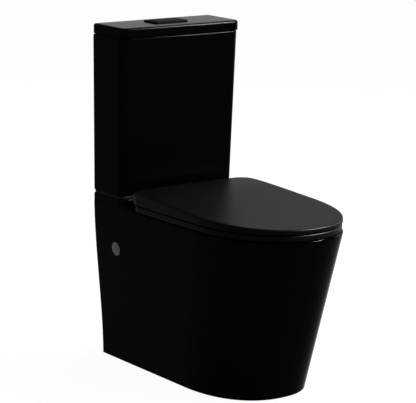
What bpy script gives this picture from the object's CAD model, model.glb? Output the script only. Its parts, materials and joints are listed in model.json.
"""Close coupled toilet: smooth ceramic, seat and button pieces, their finishes and the studio."""

import json
import math

import bmesh
import bpy
from bpy.props import (
    FloatProperty,
    FloatVectorProperty,
    IntProperty,
    PointerProperty,
    StringProperty,
)
from mathutils import Matrix, Vector


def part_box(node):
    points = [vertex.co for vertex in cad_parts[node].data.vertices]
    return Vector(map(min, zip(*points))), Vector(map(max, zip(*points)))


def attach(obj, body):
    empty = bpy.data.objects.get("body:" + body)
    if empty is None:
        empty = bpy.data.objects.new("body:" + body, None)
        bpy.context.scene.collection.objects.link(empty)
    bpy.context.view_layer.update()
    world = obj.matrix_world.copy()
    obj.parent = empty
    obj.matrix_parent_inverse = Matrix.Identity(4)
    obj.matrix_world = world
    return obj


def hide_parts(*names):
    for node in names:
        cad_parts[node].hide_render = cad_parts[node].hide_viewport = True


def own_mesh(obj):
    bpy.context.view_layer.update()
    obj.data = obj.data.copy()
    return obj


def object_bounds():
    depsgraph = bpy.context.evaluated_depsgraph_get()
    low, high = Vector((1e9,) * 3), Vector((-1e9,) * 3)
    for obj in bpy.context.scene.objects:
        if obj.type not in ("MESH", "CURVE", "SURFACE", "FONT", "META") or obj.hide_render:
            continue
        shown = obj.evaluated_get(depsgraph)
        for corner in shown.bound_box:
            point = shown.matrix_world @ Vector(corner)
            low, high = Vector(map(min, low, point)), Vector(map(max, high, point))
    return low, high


bl_info = {
    "name": "Close Coupled Toilet",
    "version": (1, 0, 0),
    "blender": (4, 5, 0),
    "location": "View3D > Sidebar > Toilet",
    "description": "Makes the visible pieces of a close coupled toilet over its packed frame",
    "category": "Object",
}

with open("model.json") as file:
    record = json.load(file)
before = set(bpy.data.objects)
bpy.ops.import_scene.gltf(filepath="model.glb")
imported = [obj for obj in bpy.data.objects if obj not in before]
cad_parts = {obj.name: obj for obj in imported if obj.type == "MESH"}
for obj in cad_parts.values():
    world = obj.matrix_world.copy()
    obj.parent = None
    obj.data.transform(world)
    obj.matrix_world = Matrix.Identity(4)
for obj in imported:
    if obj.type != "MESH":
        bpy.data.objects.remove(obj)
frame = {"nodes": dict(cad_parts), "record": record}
CAD_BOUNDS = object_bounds()
FLOOR = CAD_BOUNDS[0][2]
FRONT = CAD_BOUNDS[0][1]
WALL = CAD_BOUNDS[1][1]
MM = 0.001

# Where along half an outline, from 0 at the front's middle to 1 at the rear's, its next stretch
# begins: for a D its straight side, rear corner and rear edge, and for a box its front corner,
# side, back corner and back edge.
D_SIDE, D_CORNER, D_REAR = 0.5, 0.74, 0.86
BOX_FRONT_CORNER, BOX_SIDE, BOX_BACK_CORNER, BOX_BACK = 0.2, 0.35, 0.65, 0.8
RING_POINTS = 200

PLATFORM_INSET = 1 * MM  # how much narrower the platform is than the rim at the wall
SMALLEST_CORNER = 2 * MM  # the least radius that a corner keeps as its outline moves inwards

PAN_NODES = (
    "pan_rim",
    "pan_platform",
    "pan_sump",
    "pan_bowl_left",
    "pan_bowl_right",
    "pan_skirt_front",
    "pan_skirt_left",
    "pan_skirt_right",
    "pan_back",
)


# ---------------------------------------------------------- what a user can change


def length(name, description, default, low=0.0, high=2.0):
    """A length in metres, shown in the scene's units."""
    return FloatProperty(
        name=name, description=description, default=default, min=low, max=high, unit="LENGTH"
    )


def angle(name, description, default):
    """An angle in radians, shown in degrees."""
    return FloatProperty(name=name, description=description, default=default, unit="ROTATION")


def number(name, description, default):
    """A plain number."""
    return FloatProperty(name=name, description=description, default=default)


def position(name, description, default):
    """A point in the room, in metres."""
    return FloatVectorProperty(
        name=name, description=description, default=default, subtype="XYZ", unit="LENGTH"
    )


def hex_colour(name, description, default):
    """An sRGB hex colour."""
    return StringProperty(name=name, description=description, default=default)


class PanSettings(bpy.types.PropertyGroup):
    """Sizes of the pan, its bowl, its water ways and the side caps."""

    rim_round: length("Rim round", "Radius of the rim's outer edge", 8.0 * MM)
    mouth_round: length("Mouth round", "Radius of the edge between the rim and the bowl", 4.0 * MM)
    foot_round: length("Foot round", "Radius of the skirt's edge on the floor", 1.5 * MM)
    wall: length("Wall", "Thickness of the skirt", 11.0 * MM)
    deck: length("Deck", "Thickness of the rim and of the platform", 12.0 * MM)
    base_width: length("Base width", "Width of the skirt on the floor", 294.6 * MM)
    base_rear_width: length(
        "Base rear width", "Width of the skirt at the wall, on the floor", 284.6 * MM
    )
    base_side: length(
        "Base side", "From the wall to the skirt's widest point on the floor", 360.0 * MM
    )
    base_length: length(
        "Base length", "From the wall to the skirt's front on the floor", 557.0 * MM
    )
    rim_width: length("Rim width", "Width of the rim", 365.6 * MM)
    rim_rear_width: length("Rim rear width", "Width of the rim at the wall", 346.0 * MM)
    rim_side: length("Rim side", "From the wall to the rim's widest point", 427.0 * MM)
    rim_length: length("Rim length", "From the wall to the rim's front", 658.4 * MM)
    base_power: number("Base power", "Fullness of the base's front curve", 2.3)
    rim_power: number("Rim power", "Fullness of the rim's front curve", 2.42)
    bowl_wall: length("Bowl wall", "Thickness of the bowl", 10.0 * MM)
    bowl_floor: length("Bowl floor", "Height of the bowl's floor", 95.0 * MM)
    bowl_half: length("Bowl half width", "Half width of the bowl's mouth", 147.0 * MM)
    bowl_middle: length("Bowl middle", "From the wall to the mouth's widest point", 392.0 * MM)
    bowl_front: length("Bowl front", "From the wall to the mouth's front", 622.0 * MM)
    bowl_rear: length("Bowl rear", "From the wall to the mouth's rear", 232.0 * MM)
    sump_half: length("Sump half width", "Half width of the bowl's floor", 42.0 * MM)
    sump_middle: length("Sump middle", "From the wall to the floor's widest point", 372.0 * MM)
    sump_front: length("Sump front", "From the wall to the floor's front", 432.0 * MM)
    sump_rear: length("Sump rear", "From the wall to the floor's rear", 322.0 * MM)
    sump_round: length("Sump round", "Radius between the bowl's floor and its sides", 16.0 * MM)
    rear_opening_width: length("Rear opening width", "Width of the open back", 230.0 * MM)
    rear_opening_height: length("Rear opening height", "Height of the open back", 345.0 * MM)
    trap_bore: length("Trap bore", "Radius of the trapway", 32.0 * MM)
    trap_wall: length("Trap wall", "Thickness of the trapway", 9.0 * MM)
    inlet_bore: length("Inlet bore", "Radius of the flush duct", 22.0 * MM)
    inlet_wall: length("Inlet wall", "Thickness of the flush duct", 7.0 * MM)
    socket_radius: length(
        "Socket radius", "Radius of the recess for the coupling gasket", 46.0 * MM
    )
    socket_depth: length("Socket depth", "Depth of that recess", 20.0 * MM)
    side_setback: length("Side fixing setback", "From the wall to the side caps", 95.0 * MM)
    side_height: length("Side fixing height", "Height of the side caps", 295.0 * MM)
    cap_radius: length("Cap radius", "Radius of the side caps", 17.5 * MM)
    cap_thick: length("Cap thickness", "How far the side caps stand out", 2.4 * MM)
    cap_round: length("Cap round", "Radius round a side cap's face", 1.0 * MM)


class CisternSettings(bpy.types.PropertyGroup):
    """Sizes of the tank, the bedding strip and the cistern lid."""

    tank_wall: length("Tank wall", "Thickness of the tank", 9.0 * MM)
    tank_floor: length("Tank floor", "Thickness of the tank's floor", 12.0 * MM)
    bottom_width: length("Bottom width", "Width of the tank at its bottom", 347.9 * MM)
    top_width: length("Top width", "Width of the tank at its top", 359.9 * MM)
    bottom_depth: length("Bottom depth", "Depth of the tank at its bottom", 118.6 * MM)
    top_depth: length("Top depth", "Depth of the tank at its top", 128.8 * MM)
    front_corner: length(
        "Front corner", "Radius of the tank's and the lid's front corners", 18.0 * MM
    )
    back_corner: length("Back corner", "Radius of their back corners", 6.0 * MM)
    bottom_edge: length("Bottom edge", "Radius round the tank's bottom", 4.0 * MM)
    top_edge: length("Top edge", "Radius round the outside of the tank's top", 5.0 * MM)
    strip_inset: length(
        "Strip inset", "How far the bedding strip stands inside the tank's bottom edge", 2.5 * MM
    )
    strip_width: length("Strip width", "Width of the bedding strip", 7.0 * MM)
    lid_wall: length("Lid wall", "Thickness of the cistern lid", 10.0 * MM)
    lid_round: length("Lid round", "Radius round the cistern lid's top", 6.0 * MM)
    lid_edge: length("Lid edge", "Radius round the cistern lid's lower edge", 2.5 * MM)
    lip_gap: length("Lip gap", "From the tank's inside to the lid's locating lip", 3.0 * MM)
    lip_wall: length("Lip wall", "Thickness of that lip", 6.0 * MM)
    lip_reach: length("Lip reach", "Depth of that lip below the tank's top", 8.0 * MM)


class ButtonSettings(bpy.types.PropertyGroup):
    """Sizes of the button plate, the flush buttons and their springs."""

    plate_thick: length("Plate thickness", "Height of the plate above the cistern lid", 3.5 * MM)
    plate_corner: length("Plate corner", "Radius of the plate's corners", 5.0 * MM)
    plate_round: length("Plate round", "Radius round the plate's top", 1.0 * MM)
    window_width: length("Window width", "Width of the plate's window", 86.0 * MM)
    window_depth: length("Window depth", "Depth of the plate's window", 40.0 * MM)
    window_corner: length("Window corner", "Radius of the window's corners", 4.0 * MM)
    sleeve_wall: length("Sleeve wall", "Thickness of the sleeve under the plate", 1.5 * MM)
    sleeve_floor: length("Sleeve floor", "Thickness of the sleeve's floor", 2.5 * MM)
    button_height: length("Button height", "Thickness of a button's cap", 9.0 * MM)
    button_round: length("Button round", "Radius round a button's top", 1.2 * MM)
    button_corner: length("Button corner", "Radius of a button's corners", 3.3 * MM)
    travel: length("Travel", "How far a button goes down", 5.0 * MM)
    spring_wire: length("Spring wire", "Radius of the return springs' wire", 0.6 * MM)
    spring_turns: IntProperty(
        name="Spring turns", description="Turns in a return spring", default=6, min=2, max=20
    )
    dish_depth: length("Dish depth", "Depth of the finger dish in a button", 0.8 * MM)
    dish_reach: length("Dish reach", "From a button's edge to the flat of its dish", 11.0 * MM)


class SeatSettings(bpy.types.PropertyGroup):
    """Sizes of the seat lid, the seat ring and their lugs on the hinges."""

    width: length("Seat width", "Width of the lid", 365.4 * MM)
    rear: length("Seat rear", "From the wall to the lid's rear edge", 158.5 * MM)
    side: length("Seat side", "From the wall to the end of the straight sides", 421.0 * MM)
    power: number("Seat power", "Fullness of the seat's front curve", 2.25)
    corner: length("Rear corner", "Radius of the lid's rear corners", 41.0 * MM)
    lid_front: length("Lid front", "Thickness of the lid at its front", 11.6 * MM)
    lid_rear: length("Lid rear", "Thickness of the lid at its rear", 28.0 * MM)
    lid_crown: length("Lid crown", "How far the lid's top swells above a straight slope", 3.2 * MM)
    lid_round: length("Lid round", "Radius round the lid's top", 4.5 * MM)
    edge_round: length("Edge round", "Radius round the lid's and the ring's lower edges", 2.2 * MM)
    lid_rim: length("Lid rim", "Width of the solid rim round the hollow underside", 14.0 * MM)
    lid_skin: length("Lid skin", "Thickness over that hollow", 4.5 * MM)
    ring_thick: length("Ring thickness", "Thickness of the seat ring", 14.0 * MM)
    ring_inset: length("Ring inset", "How far the ring stands inside the lid's edge", 1.5 * MM)
    ring_setback: length("Ring setback", "From the lid's rear edge to the ring's", 8.5 * MM)
    ring_round: length("Ring round", "Radius round the ring's top", 4.0 * MM)
    hole_half: length("Hole half width", "Half width of the ring's hole", 115.0 * MM)
    hole_middle: length("Hole middle", "From the wall to the hole's widest point", 420.0 * MM)
    hole_front: length("Hole front", "From the wall to the hole's front", 602.0 * MM)
    hole_rear: length("Hole rear", "From the wall to the hole's rear", 300.0 * MM)
    barrel: length("Barrel radius", "Radius of the lugs on the hinge pins", 8.5 * MM)
    barrel_length: length("Barrel length", "Length of those lugs", 14.0 * MM)
    notch_half: length("Notch half width", "Half width of the room round each post", 15.5 * MM)


class FinishSettings(bpy.types.PropertyGroup):
    """Colours of the finishes."""

    glaze: hex_colour("Glaze", "sRGB colour of the glazed ceramic", "060606")
    duroplast: hex_colour("Duroplast", "sRGB colour of the seat", "040404")
    black_abs: hex_colour("Black ABS", "sRGB colour of the buttons", "060606")
    rubber: hex_colour("Rubber", "sRGB colour of seals and buffers", "0C0C0C")
    polypropylene: hex_colour("Polypropylene", "sRGB colour of valve bodies", "E4E3DE")
    acetal: hex_colour("Acetal", "sRGB colour of moving valve parts", "9A9DA1")
    zinc: hex_colour("Zinc", "sRGB colour of plated screws", "B9BAB6")
    stainless: hex_colour("Stainless", "sRGB colour of the hinges", "A9A9AA")
    spring: hex_colour("Spring", "sRGB colour of the springs", "8C8C8C")
    cap_metal: hex_colour("Cap metal", "sRGB colour of the side caps", "303032")


class StageSettings(bpy.types.PropertyGroup):
    """The camera, the floor and the lights."""

    camera_place: position("Camera place", "Where the camera stands", (-2.96702, -3.80593, 1.47555))
    camera_yaw: angle("Camera yaw", "Turn of the camera from the wall's direction", -0.6480)
    camera_pitch: angle("Camera pitch", "Tilt of the camera below level", 0.2092)
    camera_roll: angle("Camera roll", "Roll of the camera", -0.0170)
    lens: number("Lens", "Focal length in millimetres on a 36 mm sensor", 175.5)
    shift_x: number("Shift X", "Sideways shift of the picture", 0.01644)
    shift_y: number("Shift Y", "Upward shift of the picture", -0.01286)
    floor_size: length("Floor size", "Side of the square floor", 30.0, 1.0, 100.0)
    floor_glow: number("Floor glow", "Own brightness of the floor as seen", 0.93)
    floor_shade: number("Floor shade", "How strongly the floor as seen shows shadows", 0.15)
    floor_tone: number("Floor tone", "How much light the floor throws back on the object", 0.6)
    room_light: number("Room light", "Strength of the light from all round", 0.3)
    key_place: position("Key place", "Where the overhead strip light hangs", (1.68, -0.35, 2.88))
    key_width: length("Key width", "Width of the overhead strip light", 0.3, 0.1, 10.0)
    key_length: length(
        "Key length", "Length of the overhead strip light, front to back", 1.8, 0.1, 10.0
    )
    key_rise: number("Key rise", "Rise of the strip light towards the wall, per metre", 0.27)
    key_power: number("Key power", "Power of the overhead strip light in watts", 85.0)
    fill_place: position("Fill place", "Where the broad light stands", (-2.2, -2.4, 1.8))
    fill_size: length("Fill size", "Side of the broad light", 1.6, 0.1, 10.0)
    fill_power: number("Fill power", "Power of the broad light in watts", 14.0)
    side_place: position("Side place", "Where the weak side light stands", (2.3, -0.2, 0.9))
    side_size: length("Side size", "Side of the weak side light", 1.2, 0.1, 10.0)
    side_power: number("Side power", "Power of the weak side light in watts", 30.0)
    glint_place: position(
        "Glint place", "Where the light that draws the edges stands", (1.65, -1.5, 1.95)
    )
    glint_width: length("Glint width", "Width of the light that draws the edges", 0.4, 0.1, 10.0)
    glint_height: length("Glint height", "Height of the light that draws the edges", 0.9, 0.1, 10.0)
    glint_power: number("Glint power", "Power of that light in watts", 1200.0)


# ---------------------------------------------------------- small tools for shaping


def between(low, high, share):
    """The value at a share of the way from low to high."""
    return low + (high - low) * share


def outline(rear_half, side_half, rear_y, side_y, front_y, power, corner):
    """A D seen from above, as its point at a share of the way round.

    The share is 0 at the front's middle and 1 at the rear's, and negative on the left.
    """

    def point(share):
        side, part = (1 if share >= 0 else -1), abs(share)
        if part <= D_SIDE:
            turn = part * math.pi
            x = side_half * math.sin(turn) ** (2 / power)
            y = side_y + (front_y - side_y) * max(math.cos(turn), 0.0) ** (2 / power)
        elif part <= D_CORNER:
            reach = (part - D_SIDE) / (D_CORNER - D_SIDE)
            x = between(side_half, rear_half, reach)
            y = between(side_y, rear_y - corner, reach)
        elif part <= D_REAR:
            turn = (part - D_CORNER) / (D_REAR - D_CORNER) * math.pi / 2
            x = rear_half - corner + corner * math.cos(turn)
            y = rear_y - corner + corner * math.sin(turn)
        else:
            x = between(rear_half - corner, 0.0, (part - D_REAR) / (1 - D_REAR))
            y = rear_y
        return side * x, y

    return point


def oval(half, middle_y, front_y, rear_y, power):
    """Two half ovals that meet at the widest point, by the same share of the way round."""

    def point(share):
        side, turn = (1 if share >= 0 else -1), abs(share) * math.pi
        end_y = front_y if turn <= math.pi / 2 else rear_y
        x = half * max(math.sin(turn), 0.0) ** (2 / power)
        y = middle_y + (end_y - middle_y) * abs(math.cos(turn)) ** (2 / power)
        return side * x, y

    return point


def rounded_box(width, depth, middle, front_corner, back_corner):
    """A rectangle with rounded corners, by the same share of the way round."""
    front_y, rear_y = middle - depth / 2, middle + depth / 2
    half = width / 2

    def point(share):
        side, part = (1 if share >= 0 else -1), abs(share)
        if part <= BOX_FRONT_CORNER:
            x, y = between(0.0, half - front_corner, part / BOX_FRONT_CORNER), front_y
        elif part <= BOX_SIDE:
            turn = (part - BOX_FRONT_CORNER) / (BOX_SIDE - BOX_FRONT_CORNER) * math.pi / 2
            x = half - front_corner + front_corner * math.sin(turn)
            y = front_y + front_corner - front_corner * math.cos(turn)
        elif part <= BOX_BACK_CORNER:
            reach = (part - BOX_SIDE) / (BOX_BACK_CORNER - BOX_SIDE)
            x, y = half, between(front_y + front_corner, rear_y - back_corner, reach)
        elif part <= BOX_BACK:
            turn = (part - BOX_BACK_CORNER) / (BOX_BACK - BOX_BACK_CORNER) * math.pi / 2
            x = half - back_corner + back_corner * math.cos(turn)
            y = rear_y - back_corner + back_corner * math.sin(turn)
        else:
            x, y = between(half - back_corner, 0.0, (part - BOX_BACK) / (1 - BOX_BACK)), rear_y
        return side * x, y

    return point


def flat(shape, height):
    """A ring on a level plane."""

    def place(share):
        x, y = shape(share)
        return Vector((x, y, height))

    return place


def sloped(shape, height):
    """A ring whose height depends on Y."""

    def place(share):
        x, y = shape(share)
        return Vector((x, y, height(y)))

    return place


def start_ring(bm, place, count=RING_POINTS, filled=True):
    """A circle moved on to the first ring, whose corners keep their share of the way round."""
    share = bm.verts.layers.float.get("share") or bm.verts.layers.float.new("share")
    verts = bmesh.ops.create_circle(bm, cap_ends=filled, segments=count, radius=1.0)["verts"]
    for vert in verts:
        vert[share] = math.atan2(round(vert.co.x, 9), -vert.co.y) / math.pi
        vert.co = place(vert[share])
    return list(dict.fromkeys(edge for vert in verts for edge in vert.link_edges))


def next_ring(bm, edges, place):
    """The ring extruded, with its new corners moved on to the next ring."""
    share = bm.verts.layers.float["share"]
    grown = bmesh.ops.extrude_edge_only(bm, edges=edges)["geom"]
    for vert in grown:
        if isinstance(vert, bmesh.types.BMVert):
            vert.co = place(vert[share])
    return [edge for edge in grown if isinstance(edge, bmesh.types.BMEdge) and edge.is_boundary]


def loft(bm, places, count=RING_POINTS, closed=False):
    """A solid through a row of rings: capped at both ends, or joined round into a frame."""
    edges = start_ring(bm, places[0], count, filled=not closed)
    for place in places[1:]:
        edges = next_ring(bm, edges, place)
    if closed:
        edges = next_ring(bm, edges, places[0])
        bmesh.ops.remove_doubles(bm, verts=bm.verts[:], dist=1e-6)
    else:
        bmesh.ops.holes_fill(bm, edges=edges, sides=0)


def quarter(radius, steps=5):
    """A quarter round as (run, rise) pairs: it sets off along the run and ends along the rise."""
    turns = [math.pi / 2 * step / steps for step in range(steps + 1)]
    return [(radius * math.sin(turn), radius * (1 - math.cos(turn))) for turn in turns]


def bent_line(corners, radii, steps=8):
    """Centres and directions along straight runs in the YZ plane joined by arcs."""
    points = [Vector((0.0, y, z)) for y, z in corners]
    stations = [(points[0], (points[1] - points[0]).normalized())]
    for before, here, after, radius in zip(points, points[1:], points[2:], radii):
        way_in, way_out = (here - before).normalized(), (after - here).normalized()
        turn = way_in.angle(way_out)
        tangent = radius * math.tan(turn / 2)
        axis = way_in.cross(way_out).normalized()
        centre = here - way_in * tangent + axis.cross(way_in) * radius
        for step in range(steps + 1):
            spin = Matrix.Rotation(turn * step / steps, 3, axis)
            stations.append((centre - spin @ (axis.cross(way_in) * radius), spin @ way_in))
    stations.append((points[-1], (points[-1] - points[-2]).normalized()))
    return stations


def round_section(centre, direction, radius):
    """A round ring across a direction."""
    guide = Vector((0, 1, 0)) if abs(direction.x) > 0.9 else Vector((1, 0, 0))
    across = direction.cross(guide).normalized()
    level = across.cross(direction).normalized()

    def place(share):
        turn = share * math.pi
        return centre + radius * (math.sin(turn) * level + math.cos(turn) * across)

    return place


def turned(bm, base, along, profile, count=64, closed=False):
    """A form turned about an axis, from (distance along it, radius) pairs."""
    places = [round_section(base + along * reach, along, radius) for reach, radius in profile]
    loft(bm, places, count, closed)


def rod_between(bm, low, high, radius, count=48):
    """A closed cylinder between two points."""
    line = high - low
    turn = line.to_track_quat("Z", "Y").to_matrix().to_4x4()
    return bmesh.ops.create_cone(
        bm,
        cap_ends=True,
        segments=count,
        radius1=radius,
        radius2=radius,
        depth=line.length,
        matrix=Matrix.Translation((low + high) / 2) @ turn,
    )["verts"]


def block(bm, low, high):
    """A box by its lowest and highest corners."""
    size = Vector(high) - Vector(low)
    place = Matrix.Translation((Vector(low) + Vector(high)) / 2) @ Matrix.Diagonal((*size, 1.0))
    return bmesh.ops.create_cube(bm, size=1.0, matrix=place)["verts"]


def put_in_order(elements, place):
    """Numbers corners or faces by their place, so that every run makes the same mesh."""
    ordered = sorted(elements, key=lambda element: tuple(place(element)))
    for index, element in enumerate(ordered):
        element.index = index
    elements.sort()


def solid(name, bm):
    """An object from a finished mesh, with its faces turned outwards."""
    bmesh.ops.recalc_face_normals(bm, faces=bm.faces[:])
    put_in_order(bm.verts, lambda vert: vert.co)
    put_in_order(bm.faces, lambda face: face.calc_center_median())
    mesh = bpy.data.meshes.new(name)
    bm.to_mesh(mesh)
    bm.free()
    piece = bpy.data.objects.new(name, mesh)
    bpy.context.scene.collection.objects.link(piece)
    return piece


def combine(piece, tool, operation):
    """Cuts a tool out of a piece, or joins it on, and removes the tool."""
    boolean = piece.modifiers.new("Combine", "BOOLEAN")
    boolean.operation = operation
    boolean.solver = "EXACT"
    boolean.use_self = True
    boolean.object = tool
    combined = piece.evaluated_get(bpy.context.evaluated_depsgraph_get())
    made = bpy.data.meshes.new_from_object(combined)
    if not made.polygons:
        raise RuntimeError(f"combining {piece.name} with {tool.name} left nothing")
    piece.modifiers.remove(boolean)
    piece.data = made
    bpy.data.objects.remove(tool)


def finish(piece, body, material, nodes=(), sharp=35.0):
    """Shades a piece smooth up to an angle, and tells the frame what it rides on and stands for."""
    for polygon in piece.data.polygons:
        polygon.use_smooth = True
    piece.data.set_sharp_from_angle(angle=math.radians(sharp))
    weighted = piece.modifiers.new("Weighted normals", "WEIGHTED_NORMAL")
    weighted.keep_sharp = True
    piece.data.materials.clear()
    piece.data.materials.append(material)
    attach(piece, body)
    if nodes:
        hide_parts(*nodes)


# ---------------------------------------------------------- finishes


def linear(code):
    """An sRGB hex colour as linear RGBA."""
    values = [int(code[place : place + 2], 16) / 255 for place in (0, 2, 4)]
    return [v / 12.92 if v <= 0.04045 else ((v + 0.055) / 1.055) ** 2.4 for v in values] + [1.0]


def add(tree, kind, inputs=None, **settings):
    """Adds a node, sets it up and links or fills its inputs."""
    node = tree.nodes.new(kind)
    for name, value in settings.items():
        setattr(node, name, value)
    for name, value in (inputs or {}).items():
        if isinstance(value, bpy.types.NodeSocket):
            tree.links.new(value, node.inputs[name])
        else:
            node.inputs[name].default_value = value
    return node


def new_material(name):
    """A material by its name, with its node tree emptied."""
    material = bpy.data.materials.get(name) or bpy.data.materials.new(name)
    material.use_nodes = True
    material.node_tree.nodes.clear()
    return material, material.node_tree


def surface(
    name,
    colour,
    roughness,
    spread,
    grain,
    bump,
    bump_size,
    metallic=0.0,
    specular=0.5,
    tint=0.03,
    detail=2.0,
):
    """A finish of one colour, in real sizes.

    Its roughness varies by spread, and its colour by tint, in patches of grain metres. Bumps of
    bump metres stand at every bump_size metres.
    """
    material, tree = new_material(name)
    place = add(tree, "ShaderNodeTexCoord").outputs["Object"]
    patches = {"Vector": place, "Scale": 1 / grain, "Detail": detail}
    cloud = add(tree, "ShaderNodeTexNoise", patches).outputs["Fac"]
    spans = {
        "Value": cloud,
        "From Min": 0.3,
        "From Max": 0.7,
        "To Min": roughness - spread,
        "To Max": roughness + spread,
    }
    rough = add(tree, "ShaderNodeMapRange", spans)
    plain = linear(colour)
    darker, lighter = ([value * share for value in plain] for share in (1 - tint, 1 + tint))
    mixed = add(tree, "ShaderNodeMix", {0: cloud, 6: darker, 7: lighter}, data_type="RGBA")
    pimples = {"Vector": place, "Scale": 1 / bump_size, "Detail": 1.0}
    relief = add(tree, "ShaderNodeTexNoise", pimples).outputs["Fac"]
    normal = add(tree, "ShaderNodeBump", {"Height": relief, "Distance": bump, "Strength": 1.0})
    shader = add(
        tree,
        "ShaderNodeBsdfPrincipled",
        {
            "Base Color": mixed.outputs[2],
            "Roughness": rough.outputs["Result"],
            "Metallic": metallic,
            "Specular IOR Level": specular,
            "Normal": normal.outputs["Normal"],
        },
    )
    add(tree, "ShaderNodeOutputMaterial", {"Surface": shader.outputs["BSDF"]})
    return material


def finish_colour(name):
    """The colour that is set for a finish."""
    return getattr(bpy.context.scene.toilet_finish, name)


def glazed_ceramic():
    """Vitreous china, glazed black and fired: a deep, slightly rippled skin that mirrors softly."""
    return surface(
        "Glazed vitreous china",
        finish_colour("glaze"),
        roughness=0.1,
        spread=0.02,
        grain=60 * MM,
        bump=0.02 * MM,
        bump_size=14 * MM,
        specular=0.004,
    )


def moulded_duroplast():
    """Urea duroplast, press moulded in a polished tool: dense, hard and very even."""
    return surface(
        "Press moulded duroplast",
        finish_colour("duroplast"),
        roughness=0.38,
        spread=0.008,
        grain=40 * MM,
        bump=0.002 * MM,
        bump_size=6 * MM,
        specular=0.016,
    )


def moulded_abs():
    """Black ABS, injection moulded in a finely textured tool: satin, with a faint grain."""
    return surface(
        "Injection moulded ABS",
        finish_colour("black_abs"),
        roughness=0.45,
        spread=0.03,
        grain=12 * MM,
        bump=0.003 * MM,
        bump_size=0.8 * MM,
        specular=0.006,
    )


def moulded_rubber():
    """EPDM rubber, compression moulded: dull, with a dry bloom in patches."""
    return surface(
        "Moulded EPDM rubber",
        finish_colour("rubber"),
        roughness=0.72,
        spread=0.08,
        grain=9 * MM,
        bump=0.02 * MM,
        bump_size=1.2 * MM,
        specular=0.03,
        tint=0.15,
    )


def moulded_polypropylene():
    """Polypropylene, injection moulded: milky, with soft flow marks."""
    return surface(
        "Injection moulded polypropylene",
        finish_colour("polypropylene"),
        roughness=0.42,
        spread=0.05,
        grain=25 * MM,
        bump=0.01 * MM,
        bump_size=2 * MM,
    )


def moulded_acetal():
    """Acetal, injection moulded: smooth and waxy."""
    return surface(
        "Injection moulded acetal",
        finish_colour("acetal"),
        roughness=0.34,
        spread=0.04,
        grain=18 * MM,
        bump=0.006 * MM,
        bump_size=1.5 * MM,
    )


def zinc_plate():
    """Bright zinc plate on turned steel: pale grey, cloudy from crystal to crystal."""
    return surface(
        "Bright zinc plated steel",
        finish_colour("zinc"),
        roughness=0.33,
        spread=0.09,
        grain=5 * MM,
        bump=0.01 * MM,
        bump_size=0.9 * MM,
        metallic=1.0,
        tint=0.08,
        detail=4.0,
    )


def brushed_stainless():
    """Turned and brushed stainless steel: even, with a soft wide highlight."""
    return surface(
        "Brushed stainless steel",
        finish_colour("stainless"),
        roughness=0.28,
        spread=0.06,
        grain=4 * MM,
        bump=0.005 * MM,
        bump_size=0.5 * MM,
        metallic=1.0,
    )


def drawn_wire():
    """Drawn spring steel: darker, with fine marks along the wire."""
    return surface(
        "Drawn spring steel",
        finish_colour("spring"),
        roughness=0.3,
        spread=0.06,
        grain=2 * MM,
        bump=0.004 * MM,
        bump_size=0.4 * MM,
        metallic=1.0,
    )


def satin_chrome():
    """Dark satin chrome on a moulded cap: a soft mirror with a grey body."""
    return surface(
        "Dark satin chrome",
        finish_colour("cap_metal"),
        roughness=0.24,
        spread=0.03,
        grain=10 * MM,
        bump=0.002 * MM,
        bump_size=1.0 * MM,
        metallic=1.0,
    )


FINISHES = {
    "black_ceramic": glazed_ceramic,
    "black_duroplast": moulded_duroplast,
    "black_plastic": moulded_abs,
    "black_rubber": moulded_rubber,
    "white_plastic": moulded_polypropylene,
    "grey_plastic": moulded_acetal,
    "zinc_steel": zinc_plate,
    "spring_steel": drawn_wire,
    "hinge_steel": brushed_stainless,
    "cap_grey": satin_chrome,
}


# ---------------------------------------------------------- forms that several pieces share


def skirt_at(height, inset=0.0):
    """The pan's outline at a height, moved inwards."""
    pan = bpy.context.scene.toilet_pan
    rear_corner, ease = 3 * MM, 0.7
    share = min(max(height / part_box("pan_rim")[1].z, 0.0), 1.0)
    flare = between(share, 3 * share**2 - 2 * share**3, ease)
    return outline(
        between(pan.base_rear_width, pan.rim_rear_width, flare) / 2 - inset,
        between(pan.base_width, pan.rim_width, share) / 2 - inset,
        WALL - inset,
        WALL - between(pan.base_side, pan.rim_side, share),
        WALL - between(pan.base_length, pan.rim_length, share) + inset,
        between(pan.base_power, pan.rim_power, share),
        rear_corner,
    )


def bowl_at(share, grow=0.0):
    """The bowl's outline at a share of its height, moved outwards."""
    pan = bpy.context.scene.toilet_pan
    fullness, power = 0.6, 2.3
    eased = share**fullness
    return oval(
        between(pan.sump_half, pan.bowl_half, eased) + grow,
        WALL - between(pan.sump_middle, pan.bowl_middle, eased),
        WALL - between(pan.sump_front, pan.bowl_front, eased) - grow,
        WALL - between(pan.sump_rear, pan.bowl_rear, eased) + grow,
        power,
    )


def bowl_rings(grow=0.0):
    """Rings from the bowl's floor, round its foot and up to just under its mouth."""
    pan = bpy.context.scene.toilet_pan
    floor, height, steps = pan.bowl_floor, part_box("pan_rim")[1].z - pan.bowl_floor, 16
    rings = []
    for run, rise in quarter(pan.sump_round):
        shape = bowl_at(rise / height, grow + run - pan.sump_round)
        rings.append(flat(shape, floor + rise - grow))
    for step in range(1, steps + 1):
        share = between(pan.sump_round, height - pan.mouth_round, step / steps) / height
        rings.append(flat(bowl_at(share, grow), between(floor, floor + height, share)))
    return rings


def socket_place():
    """Where the coupling gasket's recess is: its Y and its floor's height."""
    pan = bpy.context.scene.toilet_pan
    low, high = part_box("coupling_gasket")
    return (low.y + high.y) / 2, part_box("pan_platform")[1].z - pan.socket_depth


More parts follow.
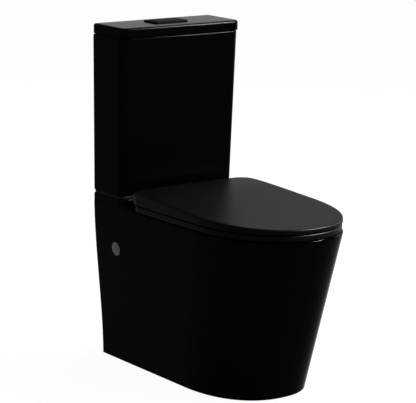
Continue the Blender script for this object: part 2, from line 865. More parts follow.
def trap_line():
    """The trapway's middle line, from the sump over the crown to the spigot."""
    low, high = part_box("pan_spigot")
    start, middle = low.y, (low.z + high.z) / 2
    sump, dip, crown = (222 * MM, 130 * MM), (120 * MM, 95 * MM), (70 * MM, 225 * MM)
    bends, overlap = (50 * MM, 48 * MM, 60 * MM), 4 * MM
    corners = [(start - reach, height) for reach, height in (sump, dip, crown)]
    return bent_line(corners + [(start, middle), (start + overlap, middle)], bends)


def inlet_line():
    """The flush duct's middle line, from the socket down and forward to the bowl's rear."""
    pan = bpy.context.scene.toilet_pan
    middle, floor = socket_place()
    drop, reach, fall, bend = 46 * MM, 40 * MM, 30 * MM, 34 * MM
    mouth = (WALL - pan.bowl_rear - reach, floor - drop - fall)
    return bent_line(((middle, floor), (middle, floor - drop), mouth), (bend,))


# ---------------------------------------------------------- one operator for each piece


class TOILET_OT_pan(bpy.types.Operator):
    """Makes the pan: the flared skirt, the rim and platform, the bowl and the open back"""

    bl_idname = "toilet.pan"
    bl_label = "Pan"

    def shell(self, pan, rim):
        """The bowl, the rim, both faces of the skirt and the bowl's back, as one closed skin."""
        under, foot, mouth, steps = rim - pan.deck, pan.foot_round, pan.mouth_round, 16
        rings = bowl_rings()
        rings += [flat(bowl_at(1.0, rise), rim - mouth + run) for run, rise in quarter(mouth)]
        for run, rise in quarter(pan.rim_round, 6):
            rings.append(flat(skirt_at(rim - rise, pan.rim_round - run), rim - rise))
        side = [between(rim - pan.rim_round, foot, step / steps) for step in range(1, steps)]
        rings += [flat(skirt_at(height), height) for height in side]
        rings += [flat(skirt_at(foot - run, rise), foot - run) for run, rise in quarter(foot, 3)]
        for run, rise in quarter(foot, 3):
            rings.append(flat(skirt_at(rise, pan.wall - foot + run), rise))
        rings += [flat(skirt_at(height, pan.wall), height) for height in reversed(side[::3])]
        rings.append(flat(skirt_at(under, pan.wall), under))
        back_steps = 11
        for step in range(back_steps + 1):
            share = 1 - step / back_steps
            height = between(pan.bowl_floor - pan.bowl_wall, under, share)
            rings.append(flat(bowl_at(share, pan.bowl_wall), height))
        bm = bmesh.new()
        loft(bm, rings)
        return solid("pan_shell", bm)

    def platform(self, pan):
        """The raised block that carries the cistern."""
        low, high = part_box("pan_platform")
        width, depth = pan.rim_rear_width - PLATFORM_INSET, WALL - low.y
        corner, back, edge = 18 * MM, 3 * MM, 4 * MM

        def shape(inset):
            reach = depth - inset
            return rounded_box(width - 2 * inset, reach, WALL - reach / 2, corner - inset, back)

        bm = bmesh.new()
        rings = [flat(shape(0.0), low.z + edge)]
        rings += [flat(shape(rise), high.z - edge + run) for run, rise in quarter(edge)]
        loft(bm, rings)
        return solid("pan_platform_block", bm)

    def hollows(self, pan, rim):
        """What is cut out: under the platform, the open back, the water ways and the holes."""
        bm = bmesh.new()
        low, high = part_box("pan_platform")
        corner, back, overlap = 7 * MM, 3 * MM, 2 * MM
        width = pan.rim_rear_width - PLATFORM_INSET - 2 * pan.wall
        depth = WALL - low.y - 2 * pan.wall
        shape = rounded_box(width, depth, WALL - pan.wall - depth / 2, corner, back)
        loft(bm, [flat(shape, rim - pan.deck - overlap), flat(shape, high.z - pan.deck)])
        half, reach = pan.rear_opening_width / 2, 2 * pan.wall
        block(bm, (-half, WALL - reach, -reach), (half, WALL + reach, pan.rear_opening_height))
        for line, radius in ((trap_line(), pan.trap_bore), (inlet_line(), pan.inlet_bore)):
            loft(bm, [round_section(centre, way, radius) for centre, way in line], count=64)
        middle_y, socket_floor = socket_place()
        washer_low, washer_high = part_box("stud_washers")
        hinge_y = (washer_low.y + washer_high.y) / 2
        nut_low, nut_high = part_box("fill_valve_nut")
        bolt_low, bolt_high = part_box("cistern_bolts")
        post_low, post_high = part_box("hinge_base_plates")
        bolt_x = bolt_high.x - (bolt_high.y - bolt_low.y) / 2
        stud_x = post_high.x - (post_high.y - post_low.y) / 2
        under = rim - 2 * pan.deck
        bolt_hole, tail_hole, sleeve_hole = 5.5 * MM, 17.5 * MM, 13 * MM
        for x, y, floor, radius in (
            (-bolt_x, middle_y, under, bolt_hole),
            (bolt_x, middle_y, under, bolt_hole),
            (-stud_x, hinge_y, under, bolt_hole),
            (stud_x, hinge_y, under, bolt_hole),
            ((nut_low.x + nut_high.x) / 2, middle_y, under, tail_hole),
            (0.0, middle_y, socket_floor, pan.socket_radius),
        ):
            rod_between(bm, Vector((x, y, floor)), Vector((x, y, high.z + pan.deck)), radius)
        cap_low, cap_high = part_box("side_sleeves")
        cap_y, cap_z = (cap_low.y + cap_high.y) / 2, (cap_low.z + cap_high.z) / 2
        for side in (-1, 1):
            middle = Vector((side * cap_high.x, cap_y, cap_z))
            inward = Vector((-side, 0, 0)) * 3 * pan.wall
            rod_between(bm, middle - inward, middle + inward, sleeve_hole)
        return solid("pan_hollows", bm)

    def execute(self, context):
        pan = context.scene.toilet_pan
        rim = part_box("pan_rim")[1].z
        piece = self.shell(pan, rim)
        combine(piece, self.platform(pan), "UNION")
        combine(piece, self.hollows(pan, rim), "DIFFERENCE")
        piece.name = piece.data.name = "pan_ceramic"
        finish(piece, "pan_and_cistern", glazed_ceramic(), PAN_NODES)
        return {"FINISHED"}


class TOILET_OT_waterways(bpy.types.Operator):
    """Makes the water ways behind the bowl: trapway, outlet spigot, flush duct and its socket"""

    bl_idname = "toilet.waterways"
    bl_label = "Water ways"

    def execute(self, context):
        pan = context.scene.toilet_pan
        bm = bmesh.new()
        for line, bore, wall in (
            (trap_line(), pan.trap_bore, pan.trap_wall),
            (inlet_line(), pan.inlet_bore, pan.inlet_wall),
        ):
            outside = [round_section(centre, way, bore + wall) for centre, way in line]
            inside = [round_section(centre, way, bore) for centre, way in reversed(line)]
            loft(bm, outside + inside, count=64, closed=True)
        low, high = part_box("pan_spigot")
        middle, outer = (low.z + high.z) / 2, high.x
        wall, shoulder, edge = 8 * MM, 3 * MM, 1.5 * MM
        profile = (
            (low.y, pan.trap_bore),
            (low.y, outer - shoulder),
            (low.y + shoulder, outer),
            (high.y - edge, outer),
            (high.y, outer - edge),
            (high.y, outer - wall + edge),
            (high.y - edge, outer - wall),
            (low.y + wall, outer - wall),
            (low.y + wall, pan.trap_bore),
        )
        turned(bm, Vector((0, 0, middle)), Vector((0, 1, 0)), profile, count=96, closed=True)
        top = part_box("pan_platform")[1].z - pan.deck
        centre_y, floor = socket_place()
        wall = 6 * MM
        profile = (
            (top, pan.socket_radius),
            (top, pan.socket_radius + wall),
            (floor - wall, pan.socket_radius + wall),
            (floor - wall, pan.inlet_bore),
            (floor, pan.inlet_bore),
            (floor, pan.socket_radius),
        )
        turned(bm, Vector((0, centre_y, 0)), Vector((0, 0, 1)), profile, count=96, closed=True)
        piece = solid("pan_waterways", bm)
        bm = bmesh.new()
        skin, above = pan.bowl_wall / 3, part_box("pan_rim")[1].z + 20 * MM
        loft(bm, bowl_rings(skin) + [flat(bowl_at(1.0, skin), above)])
        combine(piece, solid("bowl_room", bm), "DIFFERENCE")
        nodes = ("pan_trapway", "pan_spigot", "pan_inlet")
        finish(piece, "pan_and_cistern", glazed_ceramic(), nodes)
        return {"FINISHED"}


class TOILET_OT_tank(bpy.types.Operator):
    """Makes the cistern tank: tapered, with rounded corners and an open top"""

    bl_idname = "toilet.tank"
    bl_label = "Cistern tank"

    def execute(self, context):
        tank = context.scene.toilet_cistern
        low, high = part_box("cistern_tank")

        def shape(height, inset=0.0):
            share = (height - low.z) / (high.z - low.z)
            width = between(tank.bottom_width, tank.top_width, share) - 2 * inset
            depth = between(tank.bottom_depth, tank.top_depth, share) - 2 * inset
            corner = max(tank.front_corner - inset, SMALLEST_CORNER)
            back = max(tank.back_corner - inset, SMALLEST_CORNER)
            return flat(rounded_box(width, depth, WALL - inset - depth / 2, corner, back), height)

        bm = bmesh.new()
        edge, brim, lip, foot = tank.bottom_edge, tank.top_edge, 1.5 * MM, 8 * MM
        floor, bands = low.z + tank.tank_floor, 6
        rings = [shape(low.z + rise, edge - run) for run, rise in quarter(edge)]
        for step in range(1, bands):
            rings.append(shape(between(low.z + edge, high.z - brim, step / bands)))
        rings += [shape(high.z - brim + run, rise) for run, rise in quarter(brim, 5)]
        rings += [shape(high.z - rise, tank.tank_wall - lip + run) for run, rise in quarter(lip, 3)]
        for step in range(1, bands - 1):
            height = between(high.z - lip, floor + foot, step / (bands - 1))
            rings.append(shape(height, tank.tank_wall))
        for run, rise in quarter(foot, 4):
            rings.append(shape(floor + foot - run, tank.tank_wall + rise))
        loft(bm, rings)
        piece = solid("tank_ceramic", bm)
        finish(piece, "pan_and_cistern", glazed_ceramic(), ("cistern_tank",))
        return {"FINISHED"}


class TOILET_OT_bedding_strip(bpy.types.Operator):
    """Makes the rubber strip, pressed a little outwards, in the joint between platform and tank"""

    bl_idname = "toilet.bedding_strip"
    bl_label = "Bedding strip"

    def execute(self, context):
        tank = context.scene.toilet_cistern
        low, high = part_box("pan_platform")[1].z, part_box("cistern_tank")[0].z
        smallest, bulge, steps = 1 * MM, 0.8 * MM, 6

        def edge(inset, height):
            width, depth = tank.bottom_width - 2 * inset, tank.bottom_depth - 2 * inset
            corner, back = tank.front_corner - inset, max(tank.back_corner - inset, smallest)
            return flat(rounded_box(width, depth, WALL - inset - depth / 2, corner, back), height)

        outer, inner = tank.strip_inset, tank.strip_inset + tank.strip_width
        shares = [step / steps for step in range(steps + 1)]
        swell = [(bulge * (1 - math.sin(math.pi * share)), share) for share in shares]
        bm = bmesh.new()
        rings = [edge(outer + draw, between(low, high, share)) for draw, share in swell]
        rings += [edge(inner - draw, between(high, low, share)) for draw, share in swell]
        loft(bm, rings, closed=True)
        piece = solid("bedding_strip_rubber", bm)
        finish(piece, "pan_and_cistern", moulded_rubber())
        return {"FINISHED"}


class TOILET_OT_tank_lid(bpy.types.Operator):
    """Makes the cistern lid: rounded on top, hollow underneath, with a lip and the button window"""

    bl_idname = "toilet.tank_lid"
    bl_label = "Cistern lid"

    def execute(self, context):
        tank, button = context.scene.toilet_cistern, context.scene.toilet_button
        low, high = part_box("cistern_lid")
        bottom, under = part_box("cistern_tank")[1].z, high.z - tank.lid_wall
        rest, edge, foot = bottom + 0.4 * MM, tank.lid_round, tank.lid_edge
        inner_corner, lip_corner, crease = 8 * MM, 3 * MM, 4 * MM
        width, depth = high.x - low.x, high.y - low.y
        plate_low, plate_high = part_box("button_plate")

        def shape(height, inset=0.0, corner=None):
            front = tank.front_corner - inset if corner is None else corner
            back = tank.back_corner if corner is None else corner
            shaped = rounded_box(
                width - 2 * inset,
                depth - 2 * inset,
                (low.y + high.y) / 2,
                max(front, SMALLEST_CORNER),
                max(back - inset, SMALLEST_CORNER),
            )
            return flat(shaped, height)

        def window(height):
            room = button.sleeve_wall + 0.7 * MM
            corner = button.window_corner + button.sleeve_wall
            shaped = rounded_box(
                button.window_width + 2 * room,
                button.window_depth + 2 * room,
                (plate_low.y + plate_high.y) / 2,
                corner,
                corner,
            )
            return flat(shaped, height)

        def lip(height, inset):
            span = tank.top_width - 2 * (tank.tank_wall + tank.lip_gap + inset)
            reach = tank.top_depth - 2 * (tank.tank_wall + tank.lip_gap + inset)
            middle = WALL - tank.tank_wall - tank.lip_gap - inset - reach / 2
            return flat(rounded_box(span, reach, middle, lip_corner, lip_corner), height)

        bm = bmesh.new()
        rings = [shape(rest + foot - run, rise) for run, rise in reversed(quarter(foot, 3))]
        rings += [shape(high.z - edge - crease)]
        rings += [shape(high.z - edge + run, rise) for run, rise in quarter(edge, 6)]
        rings += [window(high.z), window(under)]
        rings += [lip(under, tank.lip_wall), lip(bottom - tank.lip_reach, tank.lip_wall)]
        rings += [lip(bottom - tank.lip_reach, 0.0), lip(under, 0.0)]
        rings += [shape(height, tank.lid_wall, inner_corner) for height in (under, rest)]
        loft(bm, rings, closed=True)
        piece = solid("tank_lid_ceramic", bm)
        finish(piece, "cistern_lid", glazed_ceramic(), ("cistern_lid",))
        return {"FINISHED"}


def button_window(inset, height):
    """The plate's window at a height, moved inwards."""
    button = bpy.context.scene.toilet_button
    low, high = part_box("button_plate")
    corner = max(button.window_corner - inset, 0.5 * MM)
    shape = rounded_box(
        button.window_width - 2 * inset,
        button.window_depth - 2 * inset,
        (low.y + high.y) / 2,
        corner,
        corner,
    )
    return flat(shape, height)


class TOILET_OT_button_plate(bpy.types.Operator):
    """Makes the plate round the flush buttons, with the sleeve below it that guides them"""

    bl_idname = "toilet.button_plate"
    bl_label = "Button plate"

    def execute(self, context):
        button = context.scene.toilet_button
        low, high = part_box("button_plate")
        width, depth, middle = high.x - low.x, high.y - low.y, (low.y + high.y) / 2
        under, edge = high.z - button.plate_thick, button.plate_round
        inner, chamfer, stem_hole = 0.5 * MM, 0.3 * MM, 4.7 * MM

        def border(inset, height):
            corner = button.plate_corner - inset
            shape = rounded_box(width - 2 * inset, depth - 2 * inset, middle, corner, corner)
            return flat(shape, height)

        bm = bmesh.new()
        rings = [button_window(0.0, low.z + button.sleeve_floor)]
        rings += [button_window(-rise, high.z - inner + run) for run, rise in quarter(inner, 3)]
        rings += [border(edge - run, high.z - rise) for run, rise in quarter(edge, 4)]
        rings += [border(0.0, under + chamfer), border(chamfer, under)]
        rings += [button_window(-button.sleeve_wall, height) for height in (under, low.z)]
        loft(bm, rings)
        piece = solid("button_plate_abs", bm)
        bm = bmesh.new()
        for name in ("full_flush_button", "half_flush_button"):
            box_low, box_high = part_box(name)
            foot = Vector(((box_low.x + box_high.x) / 2, middle, low.z))
            rod_between(bm, foot - Vector((0, 0, MM)), foot + Vector((0, 0, 4 * MM)), stem_hole)
        combine(piece, solid("stem_holes", bm), "DIFFERENCE")
        finish(piece, "cistern_lid", moulded_abs(), ("button_plate",))
        return {"FINISHED"}


class TOILET_OT_buttons(bpy.types.Operator):
    """Makes the full and half flush buttons: shallow dished caps on round stems"""

    bl_idname = "toilet.buttons"
    bl_label = "Flush buttons"

    def execute(self, context):
        button = context.scene.toilet_button
        edge, foot, corner = button.button_round, 0.4 * MM, button.button_corner
        stem, bore, bore_depth, dish_steps = 4.5 * MM, 3.2 * MM, 14 * MM, 10
        for side in ("full", "half"):
            node, body = f"{side}_flush_button", f"{side}_button"
            low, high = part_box(node)
            middle = (low + high) / 2
            under = high.z - button.button_height

            def cap(inset, height):
                width, depth = high.x - low.x - 2 * inset, high.y - low.y - 2 * inset
                shape = rounded_box(width, depth, middle.y, corner, corner)

                def place(share):
                    x, y = shape(share)
                    return Vector((middle.x + x, y, height))

                return place

            bm = bmesh.new()
            rings = [cap(foot, under), cap(0.0, under + foot)]
            rings += [cap(rise, high.z - edge + run) for run, rise in quarter(edge, 4)]
            for step in range(1, dish_steps + 1):
                share = step / dish_steps
                dish = button.dish_depth * (1 - math.cos(math.pi * share)) / 2
                rings.append(cap(between(edge, button.dish_reach, share), high.z - dish))
            loft(bm, rings)
            profile = (
                (low.z + bore_depth, bore),
                (low.z, bore),
                (low.z, stem - foot),
                (low.z + foot, stem),
                (under + MM, stem),
            )
            turned(bm, Vector((middle.x, middle.y, 0)), Vector((0, 0, 1)), profile, count=48)
            finish(solid(f"{body}_abs", bm), body, moulded_abs(), (node,))
        return {"FINISHED"}


class TOILET_OT_springs(bpy.types.Operator):
    """Makes the return springs, which shorten in the plate's sleeve as their buttons go down"""

    bl_idname = "toilet.springs"
    bl_label = "Return springs"

    def execute(self, context):
        button = context.scene.toilet_button
        wire, steps, wire_sides = button.spring_wire, 28 * button.spring_turns, 12
        for side in ("full", "half"):
            node, joint = f"{side}_button_spring", f"{side}_button_press"
            low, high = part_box(node)
            foot = Vector(((low.x + high.x) / 2, (low.y + high.y) / 2, low.z))
            coil = (high.x - low.x) / 2 - wire

            def section(step):
                turn = 2 * math.pi * button.spring_turns * step / steps
                outward, up = Vector((math.cos(turn), math.sin(turn), 0)), Vector((0, 0, 1))
                climb = between(wire, high.z - low.z - wire, step / steps)
                centre = foot + outward * coil + up * climb

                def place(share):
                    turn = math.pi * share
                    return centre + wire * (math.cos(turn) * outward + math.sin(turn) * up)

                return place

            bm = bmesh.new()
            loft(bm, [section(step) for step in range(steps + 1)], count=wire_sides)
            piece = solid(f"{node}_wire", bm)
            finish(piece, "cistern_lid", drawn_wire(), (node,))
            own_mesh(piece)
        return {"FINISHED"}


def seat_at(inset, setback):
    """The seat's outline, moved inwards, with its rear edge set back."""
    seat = bpy.context.scene.toilet_seat
    half, rear = seat.width / 2 - inset, WALL - seat.rear - setback
    return outline(
        half, half, rear, WALL - seat.side, FRONT + inset, seat.power, seat.corner - inset
    )


def lid_top(y):
    """Height of the seat lid's top: it slopes to the front and swells a little near the rear."""
    seat = bpy.context.scene.toilet_seat
    share = min(max((y - FRONT) / (WALL - seat.rear - FRONT), 0.0), 1.0)
    crown = seat.lid_crown * math.sin(math.pi * share**3)
    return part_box("lid_buffers")[1].z + between(seat.lid_front, seat.lid_rear, share) + crown


def hinge_places():
    """The hinge axis as Y and Z, the posts' X, and the lugs' X on the ring and on the lid."""
    seat = bpy.context.scene.toilet_seat
    low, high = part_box("hinge_pins")
    plate_low, plate_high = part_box("hinge_base_plates")
    post_x = plate_high.x - (plate_high.y - plate_low.y) / 2
    reach = seat.notch_half + seat.barrel_length / 2
    return (low.y + high.y) / 2, (low.z + high.z) / 2, post_x, post_x + reach, post_x - reach


def lugs(places, foot, head):
    """Webs from one height to another with a barrel on the hinge axis, and the bores through it."""
    seat = bpy.context.scene.toilet_seat
    axis_y, axis_z, _, _, _ = hinge_places()
    half, radius, bore = seat.barrel_length / 2, seat.barrel, 5.7 * MM
    bm, bores = bmesh.new(), bmesh.new()
    low, high = sorted((foot, head))
    for x in places:
        block(bm, (x - half, axis_y - radius, low), (x + half, axis_y + radius, high))
        ends = (Vector((x + side * half, axis_y, axis_z)) for side in (-1, 1, -2, 2))
        left, right, beyond_left, beyond_right = ends
        rod_between(bm, left, right, radius, 64)
        rod_between(bores, beyond_left, beyond_right, bore)
    return solid("lugs", bm), solid("bores", bores)


class TOILET_OT_seat_ring(bpy.types.Operator):
    """Makes the seat ring, with its oval hole and the lugs outboard of the hinge posts"""

    bl_idname = "toilet.seat_ring"
    bl_label = "Seat ring"

    def execute(self, context):
        seat = context.scene.toilet_seat
        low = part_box("seat_ring")[0].z
        top = low + seat.ring_thick
        edge, foot = seat.ring_round, seat.edge_round

        def rim(inset, height):
            return flat(seat_at(seat.ring_inset + inset, seat.ring_setback + inset), height)

        def hole(grow, height):
            shape = oval(
                seat.hole_half + grow,
                WALL - seat.hole_middle,
                WALL - seat.hole_front - grow,
                WALL - seat.hole_rear + grow,
                seat.power,
            )
            return flat(shape, height)

        bm = bmesh.new()
        rings = [rim(foot - run, low + rise) for run, rise in quarter(foot, 3)]
        rings += [rim(rise, top - edge + run) for run, rise in quarter(edge, 6)]
        rings += [hole(edge - run, top - rise) for run, rise in quarter(edge, 6)]
        rings += [hole(rise, low + foot - run) for run, rise in quarter(foot, 3)]
        loft(bm, rings, closed=True)
        piece = solid("seat_ring_duroplast", bm)
        axis_y, axis_z, post_x, ring_x, _ = hinge_places()
        webs, bores = lugs((-ring_x, ring_x), low + edge, axis_z)
        combine(piece, webs, "UNION")
        bm = bmesh.new()
        half = seat.notch_half
        front, back = axis_y - half, axis_y + 3 * half
        for x in (-post_x, post_x):
            block(bm, (x - half, front, low - half), (x + half, back, top + half))
        combine(piece, solid("notches", bm), "DIFFERENCE")
        combine(piece, bores, "DIFFERENCE")
        finish(piece, "seat_ring", moulded_duroplast(), ("seat_ring",))
        return {"FINISHED"}


def shrunk(shape, share, height):
    """A ring drawn in towards the seat's middle, at the height of the surface it lies on."""
    middle = (FRONT + WALL - bpy.context.scene.toilet_seat.rear) / 2

    def place(turn):
        x, y = shape(turn)
        y = between(middle, y, share)
        return Vector((x * share, y, height(y)))

    return place


class TOILET_OT_seat_lid(bpy.types.Operator):
    """Makes the seat lid: sloped to the front, hollow underneath, notched over the hinge posts"""

    bl_idname = "toilet.seat_lid"
    bl_label = "Seat lid"

    def execute(self, context):
        seat = context.scene.toilet_seat
        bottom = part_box("lid_buffers")[1].z
        edge, foot, steps = seat.lid_round, seat.edge_round, 12
        ceiling = seat_at(seat.lid_rim, seat.lid_rim)
        bm = bmesh.new()
        rings = [sloped(ceiling, lambda y: lid_top(y) - seat.lid_skin), flat(ceiling, bottom)]
        for run, rise in quarter(foot, 3):
            rings.append(flat(seat_at(foot - run, foot - run), bottom + rise))
        for run, rise in quarter(edge, 7):
            rings.append(sloped(seat_at(rise, rise), lambda y, run=run: lid_top(y) - edge + run))
        for step in range(1, steps):
            rings.append(shrunk(seat_at(edge, edge), 1 - step / steps, lid_top))
        loft(bm, rings)
        piece = solid("seat_lid_duroplast", bm)
        axis_y, axis_z, post_x, _, lid_x = hinge_places()
        bm = bmesh.new()
        half, clear, front = seat.notch_half, 1.5 * MM, 24 * MM
        room, reach = half + seat.barrel_length + clear, seat.barrel + clear
        low, high = bottom - half, bottom + half
        for x in (-post_x, post_x):
            verts = block(bm, (x - room, axis_y - front, low), (x + room, axis_y + reach, high))
            verts += block(bm, (x - half, axis_y - half, low), (x + half, axis_y + 3 * half, high))
            for vert in verts:
                if vert.co.z > bottom:
                    vert.co.z = lid_top(vert.co.y) - seat.lid_skin
        combine(piece, solid("hinge_room", bm), "DIFFERENCE")
        webs, bores = lugs((-lid_x, lid_x), axis_z, lid_top(axis_y) - seat.lid_skin / 2)
        combine(piece, webs, "UNION")
        combine(piece, bores, "DIFFERENCE")
        finish(piece, "seat_lid", moulded_duroplast(), ("seat_lid",))
        return {"FINISHED"}


class TOILET_OT_hinges(bpy.types.Operator):
    """Makes the hinge posts and the round plates they stand on"""

    bl_idname = "toilet.hinges"
    bl_label = "Hinges"

    def execute(self, context):
        axis_y, axis_z, post_x, _, _ = hinge_places()
        low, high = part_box("hinge_base_plates")
        post_low, post_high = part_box("hinge_posts")
        radius, post = (high.y - low.y) / 2, (post_high.y - post_low.y) / 2
        up, across, edge, sharp = Vector((0, 0, 1)), Vector((1, 0, 0)), 0.8 * MM, 30.0
        head = [(rise - post, post - edge + run) for run, rise in quarter(edge)]
        head += [(-reach, radius) for reach, radius in reversed(head)]
        plate = [(high.z - rise, radius - edge + run) for run, rise in quarter(edge)]
        plate.append((low.z, radius))
        posts, heads, plates = bmesh.new(), bmesh.new(), bmesh.new()
        for x in (-post_x, post_x):
            turned(posts, Vector((x, axis_y, 0)), up, ((high.z, post), (axis_z, post)))
            turned(heads, Vector((x, axis_y, axis_z)), across, head)
            turned(plates, Vector((x, axis_y, 0)), up, plate, count=96)
        piece = solid("hinge_posts_steel", posts)
        combine(piece, solid("hinge_heads", heads), "UNION")
        flat_plates = solid("hinge_plates_steel", plates)
        for made, node in ((piece, "hinge_posts"), (flat_plates, "hinge_base_plates")):
            finish(made, "pan_and_cistern", brushed_stainless(), (node,), sharp)
        return {"FINISHED"}


def side_place():
    """Where a side fixing leaves the pan on the right, and the way out of the surface there."""
    pan = bpy.context.scene.toilet_pan
    y, z = WALL - pan.side_setback, pan.side_height
    step, halvings = 1 * MM, 40

    def side_x(y, height):
        low, high = D_SIDE, D_CORNER
        shape = skirt_at(height)
        for _ in range(halvings):
            middle = (low + high) / 2
            low, high = (middle, high) if shape(middle)[1] < y else (low, middle)
        return shape(low)[0]

    here = side_x(y, z)
    slope_y = (side_x(y + step, z) - here) / step
    slope_z = (side_x(y, z + step) - here) / step
    return Vector((here, y, z)), Vector((1, -slope_y, -slope_z)).normalized()


class TOILET_OT_side_caps(bpy.types.Operator):
    """Makes the round caps over the pan's side fixings"""

    bl_idname = "toilet.side_caps"
    bl_label = "Side caps"

    def execute(self, context):
        pan = context.scene.toilet_pan
        place, out = side_place()
        stem, stem_depth, chamfer = 8.2 * MM, 6 * MM, 0.3 * MM
        radius, thick, edge = pan.cap_radius, pan.cap_thick - chamfer, pan.cap_round
        profile = [(-stem_depth, stem), (0.0, stem), (0.0, radius - chamfer), (chamfer, radius)]
        profile += [(thick - edge + run, radius - rise) for run, rise in quarter(edge)]
        profile += [(thick + 0.2 * MM, 0.55 * radius), (pan.cap_thick, 0.2 * radius)]
        bm = bmesh.new()
        for side in (-1, 1):
            mirrored = Vector((side, 1, 1))
            turned(bm, place * mirrored, out * mirrored, profile, count=96)
        piece = solid("side_caps_chrome", bm)
        finish(piece, "pan_and_cistern", satin_chrome(), ("side_caps",))
        return {"FINISHED"}


class TOILET_OT_fittings(bpy.types.Operator):
    """Gives every solid that is still shown the finish of its material slot"""

    bl_idname = "toilet.fittings"
    bl_label = "Fittings"

    def execute(self, context):
        slots = {part["node"]: part["material_slot"] for part in frame["record"]["subparts"]}
        for name, node in frame["nodes"].items():
            material = FINISHES[slots[name]]()
            for slot in node.material_slots:
                slot.material = material
        return {"FINISHED"}


class TOILET_OT_studio(bpy.types.Operator):
    """Makes the pale floor and surround, the soft lights and the camera"""

    bl_idname = "toilet.studio"
    bl_label = "Studio"

    def seen(self, tree):
        """A switch that is on for what the camera sees, directly, mirrored or through glass."""
        path = add(tree, "ShaderNodeLightPath").outputs
        switch = path["Is Camera Ray"]
        for ray in ("Is Glossy Ray", "Is Transmission Ray"):
            either = add(tree, "ShaderNodeMath", {0: switch, 1: path[ray]}, operation="MAXIMUM")
            switch = either.outputs[0]
        return switch

    def floor(self, stage):
        """A matt floor that shows near white, with the shadow that the pieces throw on it."""
        bm = bmesh.new()
        bmesh.ops.create_grid(bm, x_segments=1, y_segments=1, size=stage.floor_size / 2)
        bmesh.ops.translate(bm, verts=bm.verts, vec=(0, 0, FLOOR))
        plane = solid("studio_floor", bm)
        material, tree = new_material("Pale matt studio floor")
        matt, shade = (
            add(tree, "ShaderNodeBsdfDiffuse", {"Color": (tone, tone, tone, 1.0), "Roughness": 0.5})
            for tone in (stage.floor_tone, stage.floor_shade)
        )
        white = {"Color": (1, 1, 1, 1), "Strength": stage.floor_glow}
        glow = add(tree, "ShaderNodeEmission", white).outputs[0]
        both = add(tree, "ShaderNodeAddShader", {0: shade.outputs[0], 1: glow}).outputs[0]
        surfaces = {0: self.seen(tree), 1: matt.outputs[0], 2: both}
        mixed = add(tree, "ShaderNodeMixShader", surfaces)
        add(tree, "ShaderNodeOutputMaterial", {"Surface": mixed.outputs[0]})
        plane.data.materials.append(material)

    def surround(self, scene, stage):
        """A world that shows white, and lights the pieces weakly from all round."""
        world = bpy.data.worlds.new("Pale studio")
        world.use_nodes = True
        scene.world, tree = world, world.node_tree
        tree.nodes.clear()
        lit, white = (
            add(tree, "ShaderNodeBackground", {"Color": (1, 1, 1, 1), "Strength": strength})
            for strength in (stage.room_light, 1.0)
        )
        surfaces = {0: self.seen(tree), 1: lit.outputs[0], 2: white.outputs[0]}
        mixed = add(tree, "ShaderNodeMixShader", surfaces)
        add(tree, "ShaderNodeOutputWorld", {"Surface": mixed.outputs[0]})

    def lamp(self, scene, name, place, aim, long, size, power):
        """A rectangular soft box that faces a point, with its second side along a direction."""
        light = bpy.data.lights.new(name, "AREA")
        light.shape = "RECTANGLE"
        light.size, light.size_y = size
        light.energy = power
        place, long = Vector(place), Vector(long)
        away = (place - aim).normalized()
        long = (long - away * long.dot(away)).normalized()
        holder = bpy.data.objects.new(name, light)
        turn = Matrix((long.cross(away), long, away)).transposed().to_4x4()
        holder.matrix_world = Matrix.Translation(place) @ turn
        scene.collection.objects.link(holder)
        return holder

    def lamps(self, scene, stage):
        """The overhead strip, two weak lights, and a card that shows as a glint on glazed edges."""
        top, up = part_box("cistern_lid")[1], (0, 0, 1)
        middle = Vector((0, 0, (CAD_BOUNDS[0][2] + CAD_BOUNDS[1][2]) / 2))
        size, long = (stage.key_width, stage.key_length), (0, 1, stage.key_rise)
        self.lamp(scene, "Strip light", stage.key_place, top, long, size, stage.key_power)
        size = (stage.fill_size, stage.fill_size)
        self.lamp(scene, "Fill light", stage.fill_place, middle, up, size, stage.fill_power)
        size = (stage.side_size, stage.side_size)
        self.lamp(scene, "Side light", stage.side_place, middle, up, size, stage.side_power)
        size = (stage.glint_width, stage.glint_height)
        card = self.lamp(scene, "Glint card", stage.glint_place, top, up, size, stage.glint_power)
        card.visible_diffuse = False

    def camera(self, scene, stage):
        """The camera, from its place, its turn and tilt, and its lens."""
        lens = bpy.data.cameras.new("Camera")
        lens.sensor_width, lens.lens = 36.0, stage.lens
        lens.shift_x, lens.shift_y = stage.shift_x, stage.shift_y
        yaw, pitch, roll = stage.camera_yaw, stage.camera_pitch, stage.camera_roll
        level = math.cos(pitch)
        ahead = Vector((-math.sin(yaw) * level, math.cos(yaw) * level, -math.sin(pitch)))
        right = Vector((math.cos(yaw), math.sin(yaw), 0.0))
        down = ahead.cross(right)
        across = right * math.cos(roll) + down * math.sin(roll)
        below = down * math.cos(roll) - right * math.sin(roll)
        holder = bpy.data.objects.new("Camera", lens)
        turn = Matrix((across, -below, -ahead)).transposed().to_4x4()
        holder.matrix_world = Matrix.Translation(Vector(stage.camera_place)) @ turn
        scene.collection.objects.link(holder)
        scene.camera = holder

    def execute(self, context):
        scene, stage = context.scene, context.scene.toilet_stage
        scene.view_settings.view_transform = "Standard"
        self.floor(stage)
        self.surround(scene, stage)
        self.lamps(scene, stage)
        self.camera(scene, stage)
        return {"FINISHED"}


# ---------------------------------------------------------- the sidebar, and the order of making

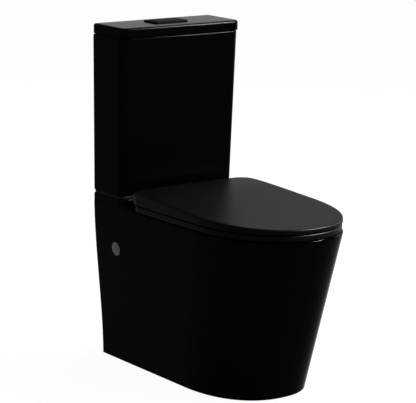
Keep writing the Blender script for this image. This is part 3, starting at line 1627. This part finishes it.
PIECES = (
    TOILET_OT_pan,
    TOILET_OT_waterways,
    TOILET_OT_tank,
    TOILET_OT_bedding_strip,
    TOILET_OT_tank_lid,
    TOILET_OT_button_plate,
    TOILET_OT_buttons,
    TOILET_OT_springs,
    TOILET_OT_seat_ring,
    TOILET_OT_seat_lid,
    TOILET_OT_hinges,
    TOILET_OT_side_caps,
    TOILET_OT_fittings,
    TOILET_OT_studio,
)
SETTINGS = {
    "toilet_pan": PanSettings,
    "toilet_cistern": CisternSettings,
    "toilet_button": ButtonSettings,
    "toilet_seat": SeatSettings,
    "toilet_finish": FinishSettings,
    "toilet_stage": StageSettings,
}


class TOILET_PT_pieces(bpy.types.Panel):
    """Lists the pieces and the sizes and colours they are made from"""

    bl_label = "Close Coupled Toilet"
    bl_idname = "TOILET_PT_pieces"
    bl_space_type = "VIEW_3D"
    bl_region_type = "UI"
    bl_category = "Toilet"

    def draw(self, context):
        layout = self.layout
        for piece in PIECES:
            layout.operator(piece.bl_idname)
        for name in SETTINGS:
            group = getattr(context.scene, name)
            box = layout.box()
            for setting in group.bl_rna.properties.keys():
                if setting not in ("name", "rna_type"):
                    box.prop(group, setting)


def register():
    for kind in (*SETTINGS.values(), *PIECES, TOILET_PT_pieces):
        bpy.utils.register_class(kind)
    for name, kind in SETTINGS.items():
        setattr(bpy.types.Scene, name, PointerProperty(type=kind))


def unregister():
    for name in SETTINGS:
        delattr(bpy.types.Scene, name)
    for kind in reversed((*SETTINGS.values(), *PIECES, TOILET_PT_pieces)):
        bpy.utils.unregister_class(kind)


def main():
    """Makes every piece and the studio."""
    register()
    bpy.ops.toilet.pan()
    bpy.ops.toilet.waterways()
    bpy.ops.toilet.tank()
    bpy.ops.toilet.bedding_strip()
    bpy.ops.toilet.tank_lid()
    bpy.ops.toilet.button_plate()
    bpy.ops.toilet.buttons()
    bpy.ops.toilet.springs()
    bpy.ops.toilet.seat_ring()
    bpy.ops.toilet.seat_lid()
    bpy.ops.toilet.hinges()
    bpy.ops.toilet.side_caps()
    bpy.ops.toilet.fittings()
    bpy.ops.toilet.studio()


if __name__ == "__main__":
    main()
